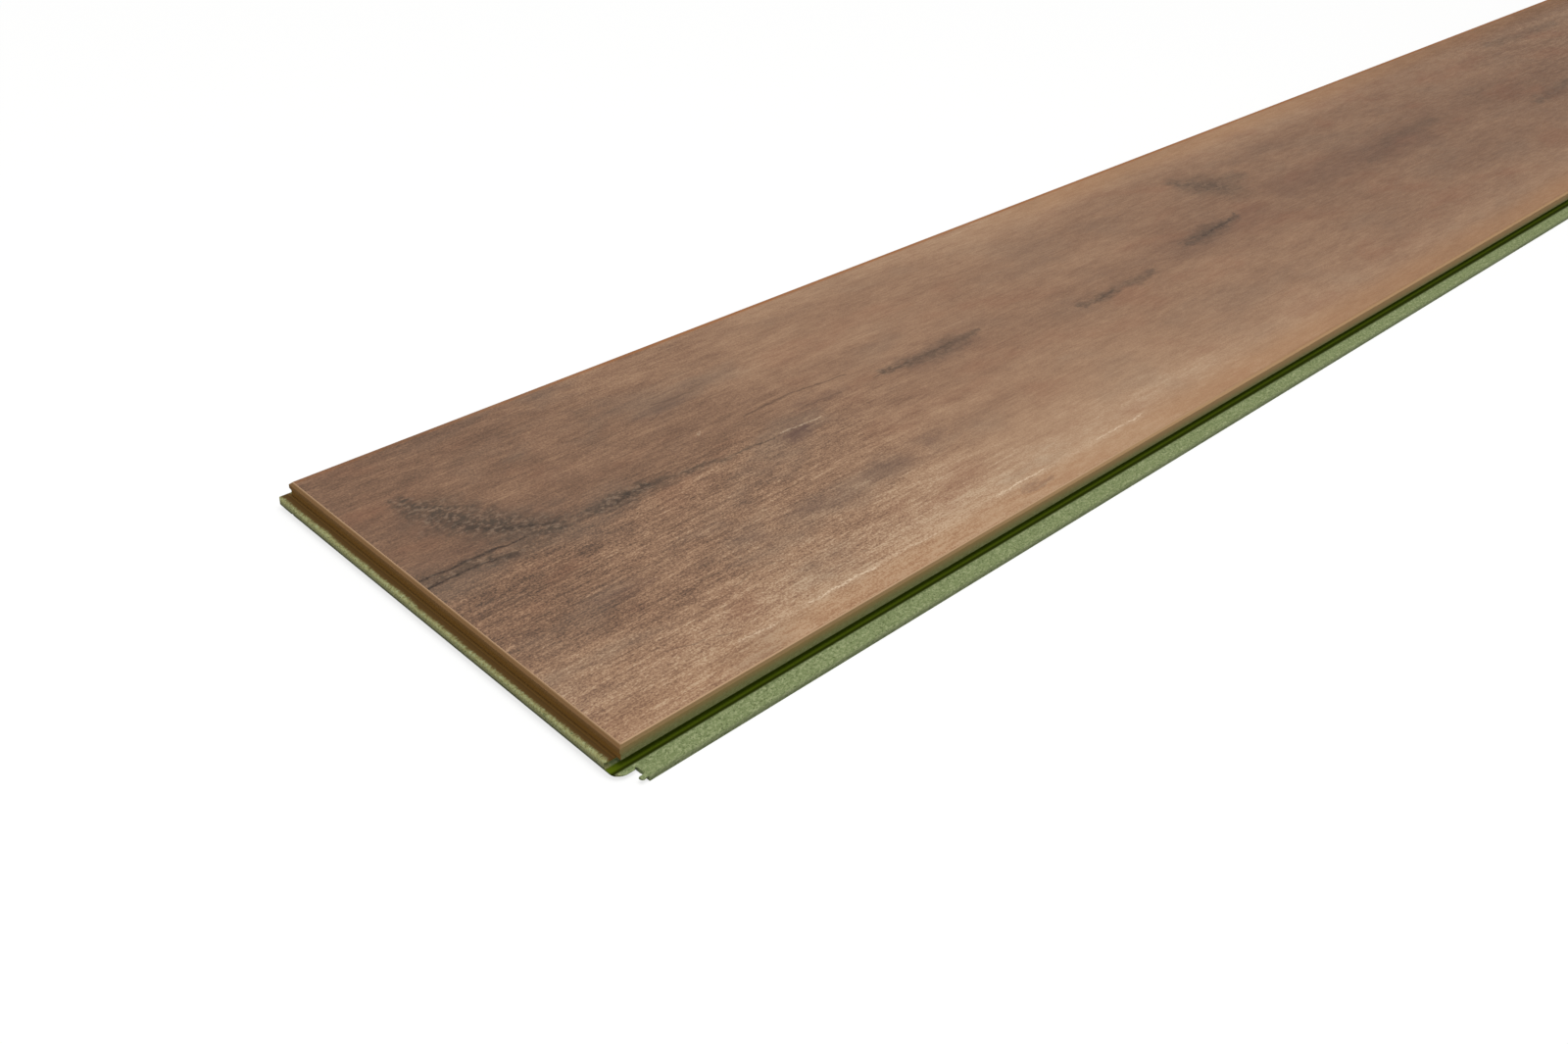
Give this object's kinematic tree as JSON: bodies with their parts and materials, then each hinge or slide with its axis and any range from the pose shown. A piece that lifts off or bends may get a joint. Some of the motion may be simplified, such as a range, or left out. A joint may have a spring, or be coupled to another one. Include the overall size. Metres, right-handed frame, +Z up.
{
  "type": "laminate floor plank",
  "caption": "Long flat floor plank with a printed wood face on a green fibreboard core, click tongue and groove milled along all its edges, bevelled round the top.",
  "frame": {"origin": "centre of the covered area, on the underside", "axes": "+X along the plank away from the tongue end, +Y across it towards the long tongue, +Z up to the wear face"},
  "size_m": [1.3013, 0.2039, 0.012],
  "materials": {
    "fibreboard": "matt milled fibreboard",
    "decor": "satin printed wood grain"
  },
  "bodies": {
    "root": {"hdf_core": "fibreboard", "decor_face": "decor"}
  },
  "joints": []
}
